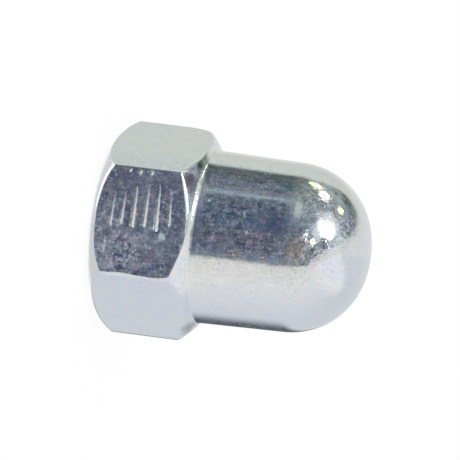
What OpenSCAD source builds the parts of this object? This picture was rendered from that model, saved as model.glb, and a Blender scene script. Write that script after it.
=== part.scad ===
// Closed axle nut: a short hexagon, a plain round sleeve and a domed end in one
// piece of steel, tapped from the open end to screw on to an M10 x 1 axle.
// It stands on its bearing face. The origin is the centre of that face, and +Z
// runs along the thread towards the dome. All sizes are in millimetres.

/* [Hexagon] */
// Across the flats, the spanner size
across_flats = 15; // [13:0.5:19]
// Height of the hexagon, from the bearing face to the shoulder
hex_height = 8.2; // [6:0.1:12]
// How much is worn off each corner, measured along its radius
corner_trim = 0.08; // [0.02:0.01:0.6]

/* [Bearing face end] */
// How far the edge of the bearing face lies inside the flats
seat_inset = 0.85; // [0.3:0.05:1.5]
// Height of the crowned chamfer at the bearing face
seat_chamfer_height = 1.45; // [0.8:0.05:1.8]
// Radius of that chamfer's crown
seat_chamfer_radius = 4.5; // [2.5:0.1:4.6]

/* [Shoulder] */
// Width of the flat ring between the chamfer and the sleeve's root fillet
shoulder_land = 0.05; // [0.02:0.01:0.3]
// Height of the crowned chamfer at the shoulder
shoulder_chamfer_height = 1.15; // [0.8:0.05:1.8]
// Radius of that chamfer's crown
shoulder_chamfer_radius = 4.5; // [2.5:0.1:4.6]

/* [Sleeve] */
// How far the sleeve steps in from the flats, at its root
sleeve_step = 0.52; // [0.3:0.01:1.5]
// Draft of the sleeve, which narrows towards the dome (degrees)
sleeve_draft = 1.25; // [0:0.05:3]
// Radius of the fillet between the shoulder and the sleeve
root_fillet = 0.25; // [0.1:0.05:0.6]

/* [Dome] */
// Overall length, from the bearing face to the tip
overall_length = 21.5; // [17.5:0.1:30]
// Radius of the dome's tip, a part of a sphere
dome_tip_radius = 10; // [8:0.5:16]
// Radius of the round between the sleeve and the tip
dome_side_radius = 6.2; // [4:0.1:7]

/* [Thread] */
// Nominal diameter of the axle thread
thread_diameter = 10; // [8:0.5:11]
// Pitch of the axle thread
thread_pitch = 1; // [0.75:0.25:1.5]
// How far the mouth of the hole opens beyond the thread, on its radius
mouth_clearance = 0.3; // [0.1:0.05:0.5]
// Angle of the countersink at the mouth (degrees)
countersink_angle = 120; // [90:5:120]
// Angle of the drill's point at the blind end (degrees)
drill_point_angle = 118; // [90:2:140]
// Steel left between the drill's point and the tip of the dome
tip_wall = 2.1; // [1:0.1:4]

/* [Hidden] */
zinc = [0.80, 0.82, 0.84];
$fn = 96;
hexagon = 6;
overshoot = 1;
// Tangent rounds overlap by this much, so that they join as one surface
weld = 0.002;

flat_radius = across_flats / 2;
corner_radius = flat_radius / cos(180 / hexagon) - corner_trim;
seat_radius = flat_radius - seat_inset;
sleeve_radius = flat_radius - sleeve_step;
fillet_edge = sleeve_radius + root_fillet;
shoulder_radius = fillet_edge + shoulder_land;
sleeve_root = hex_height + root_fillet;
// A thin bar limits the rounds: the dome's side round leaves room for the tip, and
// the chamfers' crowns keep their centres outside the axis
side_radius = min(dome_side_radius, 0.89 * sleeve_radius);
seat_crown = min(seat_chamfer_radius, 0.61 * flat_radius);
shoulder_crown = min(shoulder_chamfer_radius, 0.61 * flat_radius);

// The round between sleeve and tip touches the drafted sleeve and, from the inside,
// the sphere of the tip. Its centre is side_radius in from the sleeve's line, and
// centre_gap from the sphere's centre, which gives a quadratic for its height.
sphere_centre = [0, overall_length - dome_tip_radius];
centre_gap = dome_tip_radius - side_radius;
draft_slope = tan(sleeve_draft);
centre_line = sleeve_radius - side_radius / cos(sleeve_draft)
    + (sleeve_root - sphere_centre.y) * draft_slope;
centre_rise = (centre_line * draft_slope
    + sqrt(centre_gap ^ 2 * (1 + draft_slope ^ 2) - centre_line ^ 2)) / (1 + draft_slope ^ 2);
side_centre = [centre_line - draft_slope * centre_rise, sphere_centre.y + centre_rise];
sleeve_end = side_centre + side_radius * [cos(sleeve_draft), sin(sleeve_draft)];
tip_edge = sphere_centre + (side_centre - sphere_centre) * dome_tip_radius / centre_gap;

// The hole is drilled to the thread's nominal size less one pitch, then tapped.
drill_radius = (thread_diameter - thread_pitch) / 2;
mouth_radius = thread_diameter / 2 + mouth_clearance;
countersink_depth = (mouth_radius - drill_radius) / tan(countersink_angle / 2);
point_height = drill_radius / tan(drill_point_angle / 2);
point_start = overall_length - tip_wall - point_height;

// Centre of the circle of a given radius through two points of the outline, with the
// second reached from the first anticlockwise, so the arc between them bulges outwards
function crown_centre(first, second, radius) =
    let (half = (second - first) / 2, reach = sqrt(radius ^ 2 - half * half))
    (first + second) / 2 + reach / norm(half) * [-half.y, half.x];

// What a crowned chamfer takes off a corner: all that lies beyond the crown's circle,
// to its right and below (side -1) or above it (side 1)
module chamfer_waste(centre, radius, side) {
    reach = radius + overshoot;
    translate(centre) difference() {
        translate([0, side < 0 ? -reach : 0]) square(reach);
        circle(r = radius);
    }
}

// Half of the collar's outline: straight corner between two crowned chamfers
module collar_outline() {
    seat_edge = [seat_radius, 0];
    lower_corner = [corner_radius, seat_chamfer_height];
    upper_corner = [corner_radius, hex_height - shoulder_chamfer_height];
    shoulder_edge = [shoulder_radius, hex_height];
    difference() {
        square([corner_radius, hex_height]);
        chamfer_waste(crown_centre(seat_edge, lower_corner, seat_crown), seat_crown, -1);
        chamfer_waste(
            crown_centre(upper_corner, shoulder_edge, shoulder_crown), shoulder_crown, 1
        );
    }
}

// Half of the outline of the sleeve and its root fillet, from halfway up the collar
module sleeve_outline() {
    fillet_centre = [fillet_edge, sleeve_root];
    difference() {
        polygon([
            [0, hex_height / 2], [fillet_edge, hex_height / 2], fillet_centre,
            [sleeve_radius, sleeve_root], sleeve_end, [0, sleeve_end.y]
        ]);
        translate(fillet_centre) circle(r = root_fillet + weld);
    }
}

// Half of the dome's outline: a disc for the round side, and over it the middle of a
// larger disc for the tip
module dome_outline() {
    intersection() {
        translate(side_centre) circle(r = side_radius + weld);
        translate([0, hex_height]) square(overall_length);
    }
    intersection() {
        translate(sphere_centre) circle(r = dome_tip_radius);
        translate([0, hex_height]) square([tip_edge.x, overall_length]);
    }
}

module outline() {
    collar_outline();
    sleeve_outline();
    dome_outline();
}

// The outside, as it would be turned from hexagon bar: where the turned outline
// stands out beyond the flats, the bar leaves it flat
module blank() {
    intersection() {
        rotate_extrude() outline();
        translate([0, 0, -overshoot])
            cylinder(
                r = flat_radius / cos(180 / hexagon),
                h = overall_length + 2 * overshoot,
                $fn = hexagon
            );
    }
}

// The blind hole: countersunk mouth, drilled wall that carries the thread, drill's point
module tapped_hole() {
    mouth_slope = tan(countersink_angle / 2);
    translate([0, 0, -overshoot])
        cylinder(
            r1 = mouth_radius + overshoot * mouth_slope,
            r2 = drill_radius,
            h = countersink_depth + overshoot
        );
    cylinder(r = drill_radius, h = point_start);
    translate([0, 0, point_start]) cylinder(r1 = drill_radius, r2 = 0, h = point_height);
}

module axle_nut() {
    color(zinc) difference() {
        blank();
        tapped_hole();
    }
}

axle_nut();
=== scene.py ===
import math

import bpy
import numpy as np
from mathutils import Matrix, Vector


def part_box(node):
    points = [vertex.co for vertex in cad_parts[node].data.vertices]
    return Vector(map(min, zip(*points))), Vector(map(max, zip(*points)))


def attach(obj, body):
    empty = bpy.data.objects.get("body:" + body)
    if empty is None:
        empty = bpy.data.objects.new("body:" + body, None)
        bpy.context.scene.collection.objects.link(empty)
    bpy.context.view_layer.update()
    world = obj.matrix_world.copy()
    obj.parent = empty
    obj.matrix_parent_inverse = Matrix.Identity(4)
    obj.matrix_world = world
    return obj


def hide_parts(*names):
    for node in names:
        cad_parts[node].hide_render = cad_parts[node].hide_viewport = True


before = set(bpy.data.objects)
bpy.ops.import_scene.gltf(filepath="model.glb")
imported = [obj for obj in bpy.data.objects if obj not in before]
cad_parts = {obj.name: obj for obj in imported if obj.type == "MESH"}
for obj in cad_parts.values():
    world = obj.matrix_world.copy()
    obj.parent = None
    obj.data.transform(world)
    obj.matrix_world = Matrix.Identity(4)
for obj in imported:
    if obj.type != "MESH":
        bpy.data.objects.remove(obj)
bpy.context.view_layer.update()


# ---------------------------------------------------------------------------
# The outside of the nut, turned from hexagon steel bar in one piece: a collar
# that keeps the bar's six flats between two crowned chamfers, a sleeve a little
# narrower than the flats, and a domed end. All sizes here are in millimetres.
# ---------------------------------------------------------------------------
mm = 0.001
nut_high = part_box("axle_nut")[1]
corner_radius, flat_radius, nut_length = nut_high.x / mm, nut_high.y / mm, nut_high.z / mm

hexagon_height = 8.2
seat_inset = 0.85
seat_chamfer_height = 1.45
shoulder_chamfer_height = 1.15
shoulder_ledge = 0.15
chamfer_crown = 4.5
worn_crown, knocked_crown = 25.0, 2.8
sleeve_step = 0.52
sleeve_draft = math.radians(1.25)
root_fillet = 0.25
side_radius = 6.2
tip_radius = 10.0

sleeve_radius = flat_radius - sleeve_step
seat_edge = (flat_radius - seat_inset, 0.0)
seat_corner = (corner_radius, seat_chamfer_height)
shoulder_corner = (corner_radius, hexagon_height - shoulder_chamfer_height)
shoulder_edge = (sleeve_radius + shoulder_ledge, hexagon_height)


def crown_centre(first, second, radius):
    """Centre of the circle through two points, for one radius or one a column: from the middle
    of the chord, square to it and towards the axis, by the root of the radius squared less half
    the chord squared."""
    first, second = np.array(first), np.array(second)
    half = (second - first) / 2
    reach = np.sqrt(radius**2 - half @ half)
    square_to_chord = np.array([-half[1], half[0]]) / np.hypot(*half)
    return ((first + second) / 2 + np.multiply.outer(reach, square_to_chord)).T


def lerp(a, b, t):
    """The point a share t of the way from a to b."""
    return a + (b - a) * t


def bell(away, reach):
    """A bell curve: e to the minus (distance over reach) squared."""
    return np.exp(-((away / reach) ** 2))


def hexagon_radius(turn, corner):
    """Distance from the axis to the hexagon, for turns round it: the flat's distance over the
    cosine of the turn from that flat's middle, a, held under the corner's radius, b, by a smooth
    minimum, (a + b - sqrt((a - b)^2 + ease^2)) / 2."""
    sixth = math.pi / 3
    from_flat = (turn + math.pi / 2 + sixth / 2) % sixth - sixth / 2
    flat = flat_radius / np.cos(from_flat)
    ease = 0.03
    return (flat + corner - np.sqrt((flat - corner) ** 2 + ease**2)) / 2


def flat_columns(count, gather):
    """Turns of the columns over one flat, from corner to corner. Their places along the flat
    are a mix of even steps and a sine, which gathers them at the corners."""
    steps = np.linspace(-1, 1, count, endpoint=False)
    places = lerp(steps, np.sin(steps * math.pi / 2), gather)
    return np.arctan(places * math.tan(math.pi / 6))


# The marked flat faces -Y and has the finest columns.
marked_columns, plain_columns = 96, 27
turns = np.concatenate(
    [flat_columns(marked_columns, 0.7) - math.pi / 2]
    + [flat_columns(plain_columns, 0.92) + k * math.pi / 3 - math.pi / 2 for k in range(1, 6)]
)


def near(middle, reach):
    """A bell curve of how far the columns are from a turn, by the shorter way round."""
    return bell((turns - middle + math.pi) % (2 * math.pi) - math.pi, reach)


# The two corners beside the marked flat are less worn than the rest. One of them, and the corner
# on the -X side, have been knocked at the shoulder.
upper_corner, lower_corner = -math.pi * 2 / 3, -math.pi / 3
corners = corner_radius + 0.065 * near(upper_corner, 0.2) + 0.045 * near(lower_corner, 0.2)
knocked = 0.07 * near(lower_corner, 0.14) + 0.12 * near(math.pi, 0.2)
hexagon = hexagon_radius(turns, corners)
high_hexagon = hexagon_radius(turns, corners - knocked)
even = np.ones_like(turns)
flat_row_count, round_row_count = 140, 9


def rounded(before, corner, after, trim, rows):
    """Rows of a rounded edge: a quadratic curve from the first trim before the corner to the
    second after it, (1 - t)^2 start + 2 t (1 - t) corner + t^2 end, in the plane through the
    axis."""
    towards = corner - before
    away = after - corner
    start = corner - trim[0] * towards / np.linalg.norm(towards, axis=0)
    end = corner + trim[1] * away / np.linalg.norm(away, axis=0)
    t = np.linspace(0, 1, rows)[:, None, None]
    return (1 - t) ** 2 * start + 2 * t * (1 - t) * corner + t**2 * end


def crown_rows(centre, radius, start, end, rows=12):
    """Rows over a crowned chamfer from start to end: the angle about the crown's centre runs
    evenly from one to the other, and the radius is the crown's."""
    first = np.arctan2(start[1] - centre[1], start[0] - centre[0])
    last = np.arctan2(end[1] - centre[1], end[0] - centre[0])
    angle = lerp(first, last, np.linspace(0, 1, rows)[:, None])
    return np.stack(
        [centre[0] + radius * np.cos(angle), centre[1] + radius * np.sin(angle)],
        axis=1,
    )


# The seat's chamfer is crowned all round. The shoulder's is worn nearly to a cone, except at the
# knocked corner on the -X side, which is rounder.
shoulder_crown = lerp(worn_crown, knocked_crown, near(-3.1, 0.7))
seat_centre = crown_centre(seat_edge, seat_corner, chamfer_crown)
shoulder_centre = crown_centre(shoulder_corner, shoulder_edge, shoulder_crown)
seat_meets_flat = seat_centre[1] - np.sqrt(chamfer_crown**2 - (hexagon - seat_centre[0]) ** 2)
shoulder_meets_flat = shoulder_centre[1] + np.sqrt(
    shoulder_crown**2 - (high_hexagon - shoulder_centre[0]) ** 2
)

# The flats' curved edges are worn round. On the flats' side that goes furthest in the middle of
# each flat, and on the chamfers' side near one corner of it. A place along a flat runs from -1
# to 1.
along_flat = np.tan(
    (turns + math.pi / 2 + math.pi / 6) % (math.pi / 3) - math.pi / 6
) * math.sqrt(3)
worn_low = 0.05 + 0.19 * bell(along_flat, 0.6)
worn_high = 0.06 + 0.38 * bell(along_flat + 0.02, 0.5) + 0.12 * bell(along_flat + 0.8, 0.25) \
    + 0.14 * near(lower_corner, 0.1) + 0.15 * near(math.pi, 0.15)
low_chamfer_wear = 0.15 + 0.27 * bell(along_flat + 0.72, 0.3)
high_chamfer_wear = 0.22 + 0.28 * bell(along_flat + 0.7, 0.3)

# Each row is a pair of arrays, distance from the axis and height, one value a column. The fillet
# at the sleeve's root is fuller beside the marked flat, and starts further out there.
fuller = near(-1.92, 0.34)
bearing_face_row = np.stack([even * 5.0, even * 0.0])
seat = np.stack([even * seat_edge[0], even * seat_edge[1]])
up_the_chamfer = seat + np.array([[0.55], [0.30]])
low_edge = np.stack([hexagon, seat_meets_flat])
high_edge = np.stack([high_hexagon, shoulder_meets_flat])
shoulder = np.stack([shoulder_edge[0] + 0.1 * fuller, even * shoulder_edge[1]])

# Each chamfer is made twice: whole, to give its edge's round a direction, and then as what that
# round leaves of it.
seat_round = rounded(bearing_face_row, seat, up_the_chamfer, (0.07, 0.07), 4)
seat_chamfer = crown_rows(seat_centre, chamfer_crown, seat_round[-1], low_edge)
low_round = rounded(
    seat_chamfer[-2], low_edge, high_edge, (low_chamfer_wear, worn_low), round_row_count
)
seat_chamfer = crown_rows(seat_centre, chamfer_crown, seat_round[-1], low_round[0])[1:-1]
shoulder_chamfer = crown_rows(shoulder_centre, shoulder_crown, high_edge, shoulder)
high_round = rounded(
    low_edge, high_edge, shoulder_chamfer[1], (worn_high, high_chamfer_wear), round_row_count
)
shoulder_chamfer = crown_rows(shoulder_centre, shoulder_crown, high_round[-1], shoulder)[1:]

# The flats reach up between the two rounds. The knocks run out down their corners, and one
# corner is also rubbed a little halfway along.
up_the_flat = np.linspace(0, 1, flat_row_count + 2)[1:-1, None]
flat_rows = lerp(low_round[-1], high_round[0], up_the_flat[:, None])
corner_rub = 0.06 * bell(flat_rows[:, 1] - 3.2, 1.3) * near(lower_corner, 0.15)
flat_rows[:, 0] = hexagon_radius(turns, corners - corner_rub - knocked * up_the_flat**9)

# The sleeve starts at a small fillet and narrows towards the dome. The dome is two arcs, each
# tangent to its neighbour: the side's centre lies side_radius in from the sleeve's line, and
# tip_radius less side_radius from the centre of the tip's sphere, which gives a quadratic.
sleeve_root = hexagon_height + root_fillet
sphere_height = nut_length - tip_radius
centres_apart = tip_radius - side_radius
slope = math.tan(sleeve_draft)
offset_line = sleeve_radius - side_radius / math.cos(sleeve_draft) \
    + (sleeve_root - sphere_height) * slope
centre_rise = (
    offset_line * slope + math.sqrt(centres_apart**2 * (1 + slope**2) - offset_line**2)
) / (1 + slope**2)
side_centre = np.array([offset_line - slope * centre_rise, sphere_height + centre_rise])
join_angle = math.atan2(side_centre[1] - sphere_height, side_centre[0])


def arc_rows(centre, radius, first, last, rows):
    """Rows round an arc in the plane through the axis: centre plus radius times the cosine and
    sine of an angle that runs evenly from first to last."""
    angle = np.linspace(first, last, rows)[:, None]
    return np.stack([
        (centre[0] + radius * np.cos(angle)) * even, (centre[1] + radius * np.sin(angle)) * even
    ], axis=1)


# The fillet is a quarter of an oval from the shoulder's edge to the sleeve's root: its share of
# the way is the sine of the quarter turn inwards, and one less the cosine upwards. Where it is
# fuller it is nearly straight, and its upper end is a little uneven.
uneven = 0.22 * np.sin(37 * turns) + 0.16 * np.sin(83 * turns + 1)
fillet_start = shoulder_chamfer[-1]
fillet_end = np.stack(
    [even * sleeve_radius, sleeve_root + root_fillet * fuller * (0.1 + 0.5 * uneven)]
)
straight = np.linspace(0, 1, 10)[1:, None]
quarter_turn = straight * math.pi / 2
oval = np.stack([np.sin(quarter_turn), 1 - np.cos(quarter_turn)], axis=1)
fillet = lerp(fillet_start, fillet_end, lerp(oval, straight[:, None], 0.85 * fuller))
side = arc_rows(side_centre, side_radius, sleeve_draft, join_angle, 30)
tip = arc_rows((0.0, sphere_height), tip_radius, join_angle, math.pi / 2, 8)[1:-1]
sleeve = lerp(fillet[-1], side[0], np.linspace(0, 1, 12)[1:-1, None, None])


# ---------------------------------------------------------------------------
# The marks pressed into one flat by the jaws that held the nut: six slanting
# notches a tooth apart, deeper at one end, and the nicks of three more teeth
# near the corner above them. They are dents in the flat's own surface.
# ---------------------------------------------------------------------------
notch_starts = np.array([-2.4, -2.5, -2.9, -3.1, -3.15, -2.8])
notch_ends = np.array([0.52, 0.24, 0.39, 0.29, 0.48, 0.02])
notch_heights = np.array([1.80, 2.64, 3.55, 4.50, 5.44, 6.43])
notch_slants = np.array([-0.06, -0.063, -0.023, -0.023, 0.01, 0.03])
notch_depths = np.array([0.6, 0.65, 1.0, 0.85, 1.0, 0.65])


def notches(across, height):
    """Depth of the marks at points on the flat, and how far the jaw rubbed them bright. Along a
    notch the depth grows from nothing at its start to the whole at its end, and across it falls
    off as a bell curve that is steeper on the bearing face's side. The other side is rubbed. The
    nicks are short, leaning ovals, rubbed all over, and two spots near the seat are rubbed only.
    """
    depth, rubbed = np.zeros_like(across), np.zeros_like(across)
    for start, end, middle, slant, depth_share in zip(
        notch_starts, notch_ends, notch_heights, notch_slants, notch_depths
    ):
        along = np.clip((across - start) / (end - start), 0, 1)
        fade = np.clip((end + 0.1 - across) / 0.1, 0, 1) * (across > start) * depth_share
        waver = 0.012 * np.sin(9 * across + 40 * middle) + 0.008 * np.sin(23 * across)
        width = lerp(0.045, 0.15, along**0.7) * (1 + 6 * waver)
        offset = height - middle - slant * (across - (start + end) / 2) - waver
        depth += fade * lerp(0.02, 0.095, along) * bell(
            offset, np.where(offset < 0, 0.75, 1.25) * width
        )
        rubbed += fade * lerp(0.3, 1.0, along) * bell(offset - 0.8 * width, 0.8 * width)
    for across_middle, middle, size in ((-4.05, 2.87, 0.75), (-3.97, 3.70, 1), (-4.0, 4.63, 1)):
        offset = height - middle + 0.35 * (across - across_middle)
        oval = bell(across - across_middle, 0.19 * size) * bell(offset, 0.10 * size)
        depth += 0.055 * oval
        rubbed += oval
    for across_middle, middle in ((1.8, 1.62), (2.45, 1.6)):
        rubbed += 1.3 * bell(across - across_middle, 0.25) * bell(height - middle, 0.08)
    return depth, np.minimum(rubbed, 1)


on_marked_flat = np.abs((turns + math.pi / 2 + math.pi) % (2 * math.pi) - math.pi) < math.pi / 6
across_flat = hexagon * np.cos(turns)
dent, rubbed_bright = notches(
    np.broadcast_to(across_flat, flat_rows[:, 0].shape), flat_rows[:, 1]
)
flat_rows[:, 0] -= dent * on_marked_flat
rubbed_bright *= on_marked_flat


# ---------------------------------------------------------------------------
# The blind hole, drilled from the open end and tapped M10 x 1: a countersunk
# mouth, a right-hand thread that dies out towards the bottom, then the plain
# drilled wall and the cone of the drill's point.
# ---------------------------------------------------------------------------
thread_radius = 5.0
thread_pitch = 1.0
thread_length = 14.0
drill_radius = thread_radius - thread_pitch / 2
mouth_radius = thread_radius + 0.3
mouth_slope = math.tan(math.radians(60))
point_start, point_end = 16.696, 19.4
rows_a_pitch = 9

# The hole has a third of the outside's columns, each in line with one of them.
bore_turns = turns[::3]
bore_even = np.ones_like(bore_turns)


def bore_radius(turn, height):
    """Distance from the axis to the hole's wall: the countersink's cone or the thread, whichever
    is wider. The thread is a rounded wave of the height less the turn's share of the pitch, and
    fades over its last two turns."""
    cone = mouth_radius - height * mouth_slope
    phase = 2 * math.pi * (height / thread_pitch - turn / (2 * math.pi))
    wave = np.arcsin(0.96 * np.sin(phase)) / math.asin(0.96)
    fade = np.clip((thread_length - height) / (2 * thread_pitch), 0, 1)
    thread = drill_radius + thread_pitch / 4 * (1 + wave) * fade
    return np.maximum(cone, thread)


bore_heights = np.concatenate([
    [0.0, 0.06, 0.12],
    np.arange(0.18, thread_length, thread_pitch / rows_a_pitch),
    [thread_length, (thread_length + point_start) / 2, point_start],
])[:, None]
bore = np.stack(
    [bore_radius(bore_turns, bore_heights), bore_heights * bore_even], axis=1
)
point = lerp(
    bore[-1], np.stack([bore_even * 0.0, bore_even * point_end]),
    np.array([0.35, 0.7])[:, None, None],
)


# ---------------------------------------------------------------------------
# The solid itself: the rows above become rings of points, joined into one
# closed skin from the dome's tip over the collar, across the bearing face and
# up the hole to the drill's point.
# ---------------------------------------------------------------------------
def ring_points(rows, around):
    """Points of rows of (distance, height) at turns: distance times cosine and sine, and
    height, in metres."""
    distance, height = rows[:, 0], rows[:, 1]
    return np.stack([distance * np.cos(around), distance * np.sin(around), height], -1) * mm


def strips(first, rings, columns):
    """Quads between neighbouring rings of a grid whose points are numbered from first, row by
    row. Each takes two neighbours from a ring and the two beside them in the next."""
    ring = np.arange(rings - 1)[:, None] * columns + first
    here = np.arange(columns)[None, :]
    beside = (here + 1) % columns
    return np.stack(
        [ring + here, ring + beside, ring + columns + beside, ring + columns + here], -1
    ).reshape(-1, 4)


outer = np.concatenate([
    seat_round, seat_chamfer, low_round, flat_rows, high_round, shoulder_chamfer,
    fillet, sleeve, side, tip,
])
inner = np.concatenate([bore, point])
outer_count, inner_count = len(turns), len(bore_turns)
outer_points = ring_points(outer, turns)
inner_points = ring_points(inner, bore_turns)
points = np.concatenate([
    outer_points.reshape(-1, 3), inner_points.reshape(-1, 3),
    [[0, 0, nut_length * mm], [0, 0, point_end * mm]],
])
inner_first = outer_points.shape[0] * outer_count
tip_pole, point_pole = len(points) - 2, len(points) - 1

outside = strips(0, len(outer), outer_count)
hole = strips(inner_first, len(inner), inner_count)[:, ::-1]
last_outer = inner_first - outer_count + np.arange(outer_count)
tip_fan = np.stack([last_outer, np.roll(last_outer, -1), np.full(outer_count, tip_pole)], -1)
last_inner = tip_pole - inner_count + np.arange(inner_count)
point_fan = np.stack(
    [np.roll(last_inner, -1), last_inner, np.full(inner_count, point_pole)], -1
)
# Each face of the bearing ring joins two points of the hole's mouth to the four beside them.
mouth = np.arange(inner_count)
next_mouth = (mouth + 1) % inner_count
bearing_face = np.stack([
    inner_first + mouth, inner_first + next_mouth,
    3 * next_mouth, 3 * mouth + 2, 3 * mouth + 1, 3 * mouth,
], -1)

faces = [
    face for group in (outside, hole, tip_fan, point_fan, bearing_face) for face in group.tolist()
]
nut_mesh = bpy.data.meshes.new("nut_body")
nut_mesh.from_pydata(points.tolist(), [], faces)
nut_mesh.validate()
nut_mesh.shade_smooth()

# The finish reads how bright the marks are rubbed at each point.
brightness = np.zeros(len(points))
first_marked = (len(seat_round) + len(seat_chamfer) + len(low_round)) * outer_count
brightness[first_marked:first_marked + dent.size] = rubbed_bright.ravel()
nut_mesh.attributes.new("rubbed", "FLOAT", "POINT").data.foreach_set("value", brightness)
nut = bpy.data.objects.new("nut_body", nut_mesh)
bpy.context.scene.collection.objects.link(nut)


# ---------------------------------------------------------------------------
# The finish: bright zinc plate with a thin clear passivate, which shows faint
# lavender, green and straw tints. It is mottled where it was handled, peppered
# with fine pits, duller in a ring round the start of the dome, and has a brown
# stain and rubbed places. Painted shade darkens the shoulder's corners, and a
# painted dark reflection darkens a patch on the sleeve.
# ---------------------------------------------------------------------------
class Value:
    """A shader value: Python's operators on it add the Math nodes that work them out."""

    def __init__(self, tree, socket):
        self.tree, self.socket = tree, socket

    @staticmethod
    def node(tree, kind, settings=None, out=0, **inputs):
        """Adds any node: its settings first, then its sockets by name, or by number after an i,
        each linked or set to a plain value. Wraps the output that is asked for."""
        made = tree.nodes.new(kind)
        for name, setting in (settings or {}).items():
            if name == "stops":
                ramp = made.color_ramp
                while len(ramp.elements) < len(setting):
                    ramp.elements.new(0.5)
                for element, (position, colour) in zip(ramp.elements, setting):
                    element.position, element.color = position, (*colour, 1.0)
            else:
                setattr(made, name, setting)
        for name, value in inputs.items():
            key = int(name[1:]) if name[1:].isdigit() else name.replace("_", " ")
            if isinstance(value, Value):
                tree.links.new(value.socket, made.inputs[key])
            else:
                made.inputs[key].default_value = value
        return None if out is None else Value(tree, made.outputs[out])

    def math(self, operation, first, *second):
        """The result of a Math operation on its values, in their order."""
        numbered = {f"i{number}": value for number, value in enumerate((first, *second))}
        return self.node(self.tree, "ShaderNodeMath", {"operation": operation}, **numbered)

    def __add__(self, other):
        return self.math("ADD", self, other)

    __radd__ = __add__

    def __mul__(self, other):
        return self.math("MULTIPLY", self, other)

    __rmul__ = __mul__

    def __sub__(self, other):
        return self.math("SUBTRACT", self, other)

    def __rsub__(self, other):
        return self.math("SUBTRACT", other, self)

    def __truediv__(self, other):
        return self.math("DIVIDE", self, other)

    def __abs__(self):
        return self.math("ABSOLUTE", self)

    def root(self):
        return self.math("SQRT", self)

    def at_least(self, low):
        return self.math("MAXIMUM", self, low)

    def between(self, low, high):
        """0 below low, 1 above high, and a smooth step between them."""
        return self.node(
            self.tree, "ShaderNodeMapRange", {"interpolation_type": "SMOOTHSTEP"},
            Value=self, From_Min=low, From_Max=high,
        )


def tint(tree, share, base, other, way="MIX"):
    """Base turned into other by a share, colour by colour, or multiplied by it."""
    return Value.node(
        tree, "ShaderNodeMix", {"data_type": "RGBA", "blend_type": way}, out=2, i0=share,
        i6=base if isinstance(base, Value) else (*base, 1.0),
        i7=other if isinstance(other, Value) else (*other, 1.0),
    )


zinc = bpy.data.materials.new("zinc_plate")
zinc.use_nodes = True
shader = zinc.node_tree
shader.nodes.clear()
in_metres = Value.node(shader, "ShaderNodeTexCoord", out="Object")
in_mm = Value.node(
    shader, "ShaderNodeMapping", {"vector_type": "POINT"}, Vector=in_metres,
    Scale=(1 / mm, 1 / mm, 1 / mm),
)
along_x, along_y, along_z = (
    Value.node(shader, "ShaderNodeSeparateXYZ", out=axis, Vector=in_mm) for axis in range(3)
)


def noise(scale, shift, detail=0.0, rough=0.5, warp=0.0, stretch=(1.0, 1.0, 1.0)):
    """Noise at so many features a millimetre, fewer along an axis whose stretch is below 1. The
    shift sets it apart from the others."""
    moved = Value.node(
        shader, "ShaderNodeMapping", {"vector_type": "POINT"}, Vector=in_mm,
        Location=(shift, shift, shift), Scale=stretch,
    )
    return Value.node(
        shader, "ShaderNodeTexNoise", Vector=moved, Scale=scale, Detail=detail,
        Roughness=rough, Distortion=warp,
    )


def patch(centre, reach, low, high, ragged=1.6):
    """A patch on the nut: 1 at its centre, 0 outside an oval of the given reach, ragged in
    between, where the distance in reaches plus a little noise goes from low to high."""
    off = Value.node(
        shader, "ShaderNodeVectorMath", {"operation": "SUBTRACT"}, i0=in_mm, i1=centre
    )
    off = Value.node(
        shader, "ShaderNodeVectorMath", {"operation": "DIVIDE"}, i0=off, i1=reach
    )
    away = Value.node(
        shader, "ShaderNodeVectorMath", {"operation": "LENGTH"}, out="Value", i0=off
    )
    return 1 - (away + (mottle - 0.5) * ragged).between(low, high)


# What varies over the whole nut, from broad clouds down to fine grain and dust.
clouds = noise(0.55, 0.0, 3.0, 0.6, 0.4)
hue = noise(0.8, 11.0, 2.0, 0.5, 1.2)
waves = noise(1.2, 5.0, warp=0.3)
broad = noise(1.4, 67.0)
hue_fine = noise(1.7, 17.0, 2.0, 0.6, 0.8)
mottle = noise(2.6, 7.0, 1.0, 0.4)
bloom = noise(2.6, 31.0, 1.0, warp=0.4)
streaks = noise(4.0, 71.0, 1.0, stretch=(1.0, 1.0, 0.3))
flecks = noise(5.2, 53.0)
grain = noise(6.0, 3.0)
dimple = noise(6.0, 83.0)
dust = noise(9.0, 61.0)
pit_distance = Value.node(
    shader, "ShaderNodeTexVoronoi", {"feature": "F1"}, Vector=in_mm, Scale=1.9, Randomness=1.0
)
pit = (1 - pit_distance.between(0.02, 0.2)) * clouds.between(0.42, 0.56)

# The two sides that were handled are mottled, and the other two stay bright.
from_axis = (along_x * along_x + along_y * along_y).root()
dark_side = 1 - (abs(along_x) / from_axis).between(0.6, 0.8)
on_sleeve = along_z.between(8.2, 8.6) * (1 - along_z.between(14.5, 16))
rough_dome = along_z.between(15.5, 17.5)
scores = noise(5.0, 41.0, 1.0, stretch=(1.0, 1.0, 0.07)).between(0.66, 0.74) * dark_side
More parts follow.
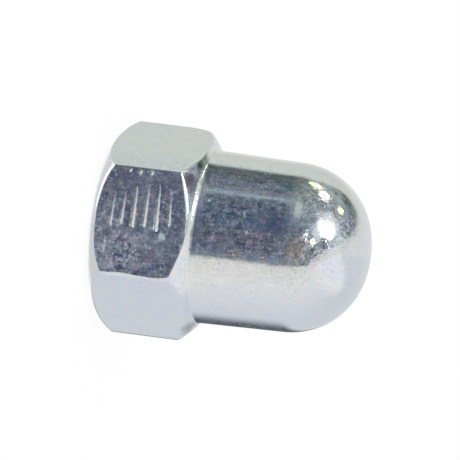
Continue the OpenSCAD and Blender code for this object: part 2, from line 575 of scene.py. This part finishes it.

# Single places. At the start of the dome: a brown stain, a pale smear, and a short streak above
# the stain. On the sleeve: a darker, bluish patch that is a painted dark reflection, a rusty
# patch, and three small glints.
stain = patch((0.48, -6.61, 16.75), (1.55, 1.2, 0.95), 0.55, 1.05)
smear = patch((-2.75, -6.1, 16.5), (1.15, 1.0, 0.42), 0.1, 1.1, 1.0)
streak = patch((0.74, -6.39, 17.43), (0.8, 0.6, 0.25), 0.3, 1.0, 1.0)
# A painted dark reflection: a patch of the sleeve made darker and bluish, with less dull film.
painted_dark_reflection = patch((-1.4, -6.7, 14.9), (1.5, 0.9, 1.4), 0.4, 1.1)
rusty = patch((1.6, -6.75, 11.7), (0.5, 0.5, 1.0), 0.3, 1.1)
glints = patch((-2.49, -6.5, 9.34), (0.16, 0.3, 0.19), 0.5, 1.0, 0.6) \
    + patch((-1.8, -6.65, 12.32), (0.22, 0.3, 0.10), 0.5, 1.0, 0.6) \
    + patch((-0.31, -6.87, 12.74), (0.18, 0.3, 0.13), 0.5, 1.0, 0.6)

# On the marked flat: the jaws' marks themselves, a pale spot below them, and a duller half.
marked = Value.node(
    shader, "ShaderNodeAttribute", {"attribute_name": "rubbed"}, out="Fac"
)
spot = patch((0.84, -7.5, 6.09), (0.4, 0.3, 0.36), 0.5, 1.1)
dull_flat = patch((2.2, -7.5, 2.0), (3.2, 0.25, 4.2), 0.3, 1.2)

# At the shoulder: a haze in the root of the sleeve, the cleaner ring beside it, and three
# patches of painted shade that darken its corners.
root = along_z.between(8.12, 8.16) * (1 - along_z.between(8.46, 8.5)) * dark_side
beside_root = along_z.between(8.46, 8.5) * (1 - along_z.between(8.65, 9.0))
painted_shoulder_shade = patch((-3.8, -6.8, 7.65), (1.05, 1.0, 0.66), 0.3, 1.2, 0.9)
painted_deep_shade = patch((-5.25, -5.45, 7.97), (0.5, 0.8, 0.27), 0.3, 1.2, 0.9)
# Painted shade on the shoulder's chamfer by the corner on the +X side.
painted_low_shade = patch((7.75, -0.6, 8.0), (1.1, 1.5, 0.7), 0.3, 1.25, 0.9)


# The colours of the painted shade in the shoulder's corners.
brown_shade_colour, green_shade_colour, blue_shade_colour = (0.42, 0.33, 0.40), (0.24, 0.30, 0.28), (0.24, 0.28, 0.30)


def with_painted_shade(base):
    """A colour with the three patches of painted shade over it."""
    base = tint(shader, painted_shoulder_shade, base, brown_shade_colour)
    base = tint(shader, painted_deep_shade, base, green_shade_colour)
    return tint(shader, painted_low_shade * 0.85, base, blue_shade_colour)


# The passivate's cast colours the dull film. The polished plate takes a share of it on the
# mottled sides, and is a paler mix of the same tints elsewhere.
lavender, blue, straw, rust = (
    (0.91, 0.75, 0.90), (0.73, 0.83, 0.89), (0.93, 0.83, 0.76), (0.95, 0.75, 0.55)
)
pale_lavender, pale_green, pale_straw = (0.78, 0.80, 0.85), (0.80, 0.82, 0.83), (0.82, 0.81, 0.79)
cast = tint(shader, hue_fine.between(0.36, 0.5), lavender, blue)
cast = tint(shader, hue_fine.between(0.52, 0.66), cast, straw)
cast = tint(shader, rusty * 0.6, cast, rust)
colour = tint(shader, hue.between(0.35, 0.5), pale_lavender, pale_green)
colour = tint(shader, hue.between(0.52, 0.66), colour, pale_straw)
tinted = dark_side * (1 - along_z.between(7.6, 8.2) * along_x.between(1.2, 2.2)) \
    * (1 - along_z.between(14.5, 16.5))
colour = tint(shader, tinted * (0.4 + on_sleeve * 0.25), colour, cast)
colour = tint(shader, pit * 0.3, colour, (0.66, 0.66, 0.68))
colour = tint(shader, stain * 0.8, colour, (0.76, 0.68, 0.66))
# The sleeve's painted dark reflection: a darker, bluish colour.
colour = tint(shader, painted_dark_reflection * 0.6, colour, (0.58, 0.61, 0.72))
colour = tint(shader, spot * 0.6, colour, (0.72, 0.84, 0.88))
colour = tint(shader, marked * 0.8, colour, (0.98, 0.97, 0.91))
# Painted shade darkens the shoulder's corners.
colour = with_painted_shade(colour)

# How much of the surface the dull film covers. An even part of it is mottled, most on the dome
# and in the clouds, and is less on the bright sides. The flecks, pits, scores and single places
# come on top.
mottling = (bloom - 0.5) * 0.8 + (flecks - 0.5) * 0.6 + (dust - 0.5) * 0.25 \
    + (streaks - 0.5) * 0.6
mottling_strength = 0.35 + clouds.between(0.38, 0.62) * 0.75 + rough_dome * 0.85 \
    + on_sleeve * (along_x.between(-4.6, -3.4) * 0.33 - 0.15)
relief = 0.4 + dark_side * 0.6
dull = 0.25 - rough_dome * 0.06 + mottling * mottling_strength + (broad - 0.5) * 0.45
dull = dull * relief * (0.88 + dull_flat * 0.8) * (1 - painted_dark_reflection * 0.5) \
    * (1 - beside_root * 0.6) * (1 - painted_shoulder_shade * 0.6)
dull = dull + flecks.between(0.68, 0.8) * (0.06 + dull_flat * 0.35) + pit * 0.1 + scores * 0.12
dull = dull + stain * bloom * 0.35 + smear * (0.55 + bloom) + spot * 0.8 + glints * 0.7
dull = dull + rough_dome * dust.between(0.6, 0.7) * dark_side * 0.25 + streak * bloom * 0.6
dull = dull + root * (0.05 + bloom * 0.5) + marked * 0.6

# The plate's own unevenness, in millimetres, with pits and scores sunk in it.
height = (waves * 0.014 + mottle * 0.008) * (1 - on_sleeve * 0.5) + grain * 0.002 - pit * 0.016
height = height * relief + dimple * rough_dome * 0.004 - scores * 0.004
surface = Value.node(
    shader, "ShaderNodeBump", Strength=1.0, Distance=mm, Height=height
)
polished = Value.node(
    shader, "ShaderNodeBsdfPrincipled", Base_Color=colour, Metallic=1.0,
    Roughness=0.07 + 0.05 * clouds.between(0.4, 0.7), Normal=surface,
)

# The film has its own colour on the single places, takes the painted shade in the shoulder's
# corners, and is the plate's brown on the stain.
film = tint(shader, spot, cast, (0.86, 0.97, 1.0))
film = tint(shader, smear, film, (0.92, 1.0, 0.95))
film = tint(shader, root, film, (0.97, 0.98, 0.93))
film = tint(shader, marked, film, (1.0, 0.98, 0.91))
film = tint(shader, stain, with_painted_shade(film), colour)
dulled = Value.node(
    shader, "ShaderNodeBsdfPrincipled", Base_Color=film, Metallic=1.0, Roughness=0.58,
    Normal=surface,
)
finish = Value.node(
    shader, "ShaderNodeMixShader", Fac=dull.at_least(0.0), i1=polished, i2=dulled
)
Value.node(shader, "ShaderNodeOutputMaterial", out=None, Surface=finish)
nut_mesh.materials.append(zinc)

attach(nut, "root")
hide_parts("axle_nut")


# ---------------------------------------------------------------------------
# The camera, with a long lens, a little above the nut and rolled so that the
# nut lies on its side with the dome to the right. Its place is a turn from -Y
# and a rise, and the climb and the side step are square to the way there.
# ---------------------------------------------------------------------------
camera_turn, camera_rise, camera_roll = (math.radians(v) for v in (3.27, 12.962, 7.203))
camera_distance = 0.5
aim = Vector((-0.74, 0.0, 9.96)) * mm
towards_camera = Vector((
    math.sin(camera_turn) * math.cos(camera_rise),
    -math.cos(camera_turn) * math.cos(camera_rise),
    math.sin(camera_rise),
))
climb = Vector((
    -math.sin(camera_turn) * math.sin(camera_rise),
    math.cos(camera_turn) * math.sin(camera_rise),
    math.cos(camera_rise),
))
side_step = -Vector((math.cos(camera_turn), math.sin(camera_turn), 0.0))
camera_place = towards_camera * camera_distance
back = (camera_place - aim).normalized()
right = math.cos(camera_roll) * climb + math.sin(camera_roll) * side_step
right = (right - right.dot(back) * back).normalized()
camera = bpy.data.objects.new("camera", bpy.data.cameras.new("camera"))
camera.matrix_world = (
    Matrix.Translation(camera_place)
    @ Matrix((right, back.cross(right), back)).transposed().to_4x4()
)
camera.data.sensor_width = 36.0
camera.data.lens = 485.2
camera.data.clip_start, camera.data.clip_end = 0.01, 10.0
bpy.context.scene.collection.objects.link(camera)
bpy.context.scene.camera = camera


# ---------------------------------------------------------------------------
# The floor: a plain white sheet. It glows a little under white to the camera,
# which leaves it the nut's shadow, and the metal doesn't mirror it.
# ---------------------------------------------------------------------------
floor_reach = 3
floor_mesh = bpy.data.meshes.new("floor")
floor_mesh.from_pydata(
    [(x * floor_reach, y * floor_reach, 0) for x, y in ((-1, -1), (1, -1), (1, 1), (-1, 1))],
    [], [(0, 1, 2, 3)],
)
floor = bpy.data.objects.new("floor", floor_mesh)
bpy.context.scene.collection.objects.link(floor)
floor.visible_glossy = False
paint = bpy.data.materials.new("floor_white")
paint.use_nodes = True
paint.node_tree.nodes.clear()
matt = Value.node(paint.node_tree, "ShaderNodeBsdfDiffuse", Color=(0.9, 0.9, 0.9, 1.0))
glow = Value.node(
    paint.node_tree, "ShaderNodeEmission", Color=(1.0, 1.0, 1.0, 1.0), Strength=1.0
)
to_camera = Value.node(paint.node_tree, "ShaderNodeLightPath", out="Is Camera Ray")
floor_finish = Value.node(
    paint.node_tree, "ShaderNodeMixShader", Fac=to_camera * 0.93, i1=matt, i2=glow
)
Value.node(paint.node_tree, "ShaderNodeOutputMaterial", out=None, Surface=floor_finish)
floor_mesh.materials.append(paint)


# ---------------------------------------------------------------------------
# The studio: a pale tent with a dark gap on the camera's side, through which
# the room shows, and a few lamps that show as highlights on the dome. The
# metal mirrors the tent, and everything else sees plain white.
# ---------------------------------------------------------------------------
world = bpy.data.worlds.new("tent")
bpy.context.scene.world = world
world.use_nodes = True
world.cycles.sampling_method = "NONE"
sky = world.node_tree
sky.nodes.clear()
direction = Value.node(sky, "ShaderNodeTexCoord", out="Generated")
front = math.radians(-90) + camera_turn


def way(turn, rise):
    """The direction of a turn from the camera's side, anticlockwise from above, and a rise above
    the horizon, both in degrees: cosine and sine of the turn, times the rise's cosine, and the
    rise's sine."""
    azimuth, height_angle = front + math.radians(turn), math.radians(rise)
    return Vector((
        math.cos(azimuth) * math.cos(height_angle),
        math.sin(azimuth) * math.cos(height_angle),
        math.sin(height_angle),
    ))


def part_along(axis):
    """How far the direction that is looked at goes along an axis: their dot product."""
    return Value.node(
        sky, "ShaderNodeVectorMath", {"operation": "DOT_PRODUCT"}, out="Value",
        i0=direction, i1=axis,
    )


def panel(turn, rise, outer, inner):
    """A round panel of the tent: 0 beyond the outer angle from its middle, 1 within the inner
    one, by the cosine of the angle between."""
    return part_along(way(turn, rise)).between(
        math.cos(math.radians(outer)), math.cos(math.radians(inner))
    )


# Around is the turn of the direction that is looked at, and lift its rise, both in degrees.
forward = part_along(way(0, 0))
sideways = part_along((-math.sin(front), math.cos(front), 0.0))
upward = part_along((0.0, 0.0, 1.0))
around = sideways.math("ARCTAN2", sideways, forward) * (180 / math.pi)
lift = upward.math("ARCSINE", upward) * (180 / math.pi)

# The tent's walls by the turn round it, from the back by -X, the front and +X.
walls = Value.node(
    sky, "ShaderNodeValToRGB",
    {"stops": [
        (0.00, (0.79, 0.815, 0.825)),
        (0.05, (0.79, 0.80, 0.78)),
        (0.10, (0.665, 0.69, 0.64)),
        (0.20, (0.71, 0.77, 0.73)),
        (0.58, (0.84, 0.83, 0.78)),
        (0.66, (0.88, 0.89, 0.86)),
        (0.75, (0.77, 0.80, 0.84)),
        (0.84, (0.695, 0.73, 0.785)),
        (0.92, (0.685, 0.72, 0.76)),
        (1.00, (0.73, 0.76, 0.775)),
    ]},
    Fac=around / 360 + 0.5,
)
# The surface the nut lay on is in its own shade, close under the horizon.
shade = around.between(118, 150) * (1 - around.between(172, 179)) * (1 - lift.between(-9, -3))
walls = tint(sky, shade * lift.between(-40, -25), walls, (0.085, 0.105, 0.13))

# The gap's sides by the height: the left one leans out and then back in, and the right one leans
# in. The gap closes high up and low down.
gap_left = lift.between(5, 38) * -40 + lift.between(52, 70) * 16 + lift.between(70, 84) * 50 - 112
gap_right = lift.between(36, 66) * -24 + lift.between(62, 80) * -30 + 27
inside_left = around - gap_left
gap = (inside_left / (1 + lift.between(12, 35) * 1.2)).between(-4, 4) \
    * (1 - (around - gap_right).between(-3, 3)) \
    * (1 - lift.between(74, 84)) * lift.between(-40, -22)

# The dark room beyond the gap, below and above the horizon, from its left side to its right. A
# lit strip stands in it low down.
along_gap = (around + 115) / 140
low_room = Value.node(
    sky, "ShaderNodeValToRGB",
    {"stops": [
        (0.00, (0.13, 0.16, 0.15)),
        (0.08, (0.085, 0.105, 0.115)),
        (0.24, (0.085, 0.105, 0.12)),
        (0.32, (0.16, 0.20, 0.215)),
        (0.355, (0.24, 0.29, 0.30)),
        (0.366, (0.50, 0.60, 0.61)),
        (0.377, (0.24, 0.29, 0.30)),
        (0.395, (0.09, 0.13, 0.17)),
        (0.49, (0.045, 0.078, 0.14)),
        (0.68, (0.05, 0.083, 0.15)),
        (0.78, (0.076, 0.088, 0.142)),
        (0.88, (0.074, 0.088, 0.135)),
        (0.94, (0.12, 0.15, 0.20)),
        (1.00, (0.16, 0.19, 0.24)),
    ]},
    Fac=along_gap,
)
high_room = Value.node(
    sky, "ShaderNodeValToRGB",
    {"stops": [
        (0.00, (0.19, 0.22, 0.20)),
        (0.12, (0.19, 0.23, 0.21)),
        (0.25, (0.19, 0.24, 0.24)),
        (0.31, (0.25, 0.29, 0.29)),
        (0.38, (0.30, 0.35, 0.35)),
        (0.47, (0.24, 0.27, 0.31)),
        (0.60, (0.15, 0.19, 0.245)),
        (0.74, (0.11, 0.135, 0.17)),
        (0.82, (0.15, 0.16, 0.195)),
        (1.00, (0.21, 0.21, 0.23)),
    ]},
    Fac=along_gap,
)
room = tint(sky, lift.between(-9, 4), low_room, high_room)
room = tint(sky, lift.between(12, 60) * 0.8, room, (0.23, 0.26, 0.29))
edge = (1 - inside_left.between(5, 24)) * lift.between(8, 22)
room = tint(sky, edge * 0.7, room, (0.10, 0.13, 0.12))
room = tint(sky, panel(-112, 24, 20, 9) * 0.6, room, (0.52, 0.55, 0.51))
room = tint(sky, lift.between(60, 84), room, (0.44, 0.53, 0.64))
room = tint(sky, panel(4, 50, 17, 8) * 0.8, room, (0.10, 0.14, 0.18))

# What stands about in the room makes it uneven in brightness and in hue.
clutter = Value.node(
    sky, "ShaderNodeTexNoise", Vector=direction, Scale=16.0, Detail=2.0, Roughness=0.6
)
room = Value.node(
    sky, "ShaderNodeVectorMath", {"operation": "SCALE"}, i0=room,
    Scale=(clutter * 3.4 - 0.7).at_least(0.4),
)
hues = Value.node(
    sky, "ShaderNodeTexNoise", out="Color", Vector=direction, Scale=10.0, Detail=1.0,
    Roughness=0.5,
)
hues = Value.node(
    sky, "ShaderNodeVectorMath", {"operation": "MULTIPLY_ADD"}, i0=hues,
    i1=(1.2, 0.8, 1.1), i2=(0.38, 0.6, 0.47),
)
room = tint(sky, 1.0, room, hues, "MULTIPLY")
tent = tint(sky, gap, walls, room)

# The glow round the flash, a low glow beside it, and the panels that light the low edges, the
# seat and the upper side of the shoulder.
tent = tint(sky, panel(-62, 55, 21, 10) * 0.75, tent, (1.0, 1.02, 1.05))
tent = tint(sky, panel(-34, 46, 13, 6) * 0.75, tent, (0.90, 0.97, 1.02))
shelf = around.between(18, 34) * (1 - around.between(125, 150)) * lift.between(40, 54)
tent = tint(sky, shelf, tent, (0.92, 0.93, 0.96))
tent = tint(sky, 1 - lift.between(-42, -24), tent, (0.71, 0.72, 0.72))
tent = tint(sky, panel(-50, -50, 27, 20), tent, (1.5, 1.5, 1.5))
tent = tint(sky, panel(-95, -62, 24, 17), tent, (1.5, 1.5, 1.5))
tent = tint(sky, panel(180, -28, 18, 7), tent, (1.05, 1.05, 1.05))

in_metal = Value.node(sky, "ShaderNodeLightPath", out="Is Glossy Ray")
plain_white = Value.node(sky, "ShaderNodeBackground", Color=(1, 1, 1, 1), Strength=1.0)
mirrored = Value.node(sky, "ShaderNodeBackground", Color=tent, Strength=1.0)
shown = Value.node(sky, "ShaderNodeMixShader", Fac=in_metal, i1=plain_white, i2=mirrored)
Value.node(sky, "ShaderNodeOutputWorld", out=None, Surface=shown)


def lamp(name, turn, rise, spread, colour, level, squeeze=1.0):
    """A round or oval lamp at a turn and rise, as wide as twice spread degrees seen from the
    nut, whose face shines at level: its power is level times its area times pi."""
    distance = 0.6
    radius = distance * math.tan(math.radians(spread))
    data = bpy.data.lights.new(name, "AREA")
    data.shape = "ELLIPSE"
    data.size, data.size_y = 2 * radius, 2 * radius * squeeze
    data.color = colour
    data.energy = level * math.pi * radius**2 * squeeze * math.pi
    made = bpy.data.objects.new(name, data)
    out = way(turn, rise)
    facing = out.to_track_quat("Z", "Y").to_matrix().to_4x4()
    made.matrix_world = Matrix.Translation(out * distance) @ facing
    made.visible_camera = False
    bpy.context.scene.collection.objects.link(made)


lamp("flash", -48, 57, 9.6, (1.0, 1.0, 1.0), 5.0, 1.3)
lamp("tube_lamp", -98, 28, 6.6, (1.0, 1.0, 0.97), 3.0, 0.95)
lamp("warm_lamp", -105, 14, 3.5, (1.0, 1.0, 0.5), 2.4, 1.9)
lamp("small_warm_lamp", -111, 48, 4.8, (1.0, 0.98, 0.62), 1.6, 0.8)
lamp("low_warm_lamp", -13, 43, 5.4, (1.0, 0.97, 0.66), 1.5)
lamp("rim_lamp", -19.5, 31.5, 7, (1.0, 1.0, 1.0), 2.4, 0.16)


# ---------------------------------------------------------------------------
# Colours are shown as written.
# ---------------------------------------------------------------------------
bpy.context.scene.view_settings.view_transform = "Standard"
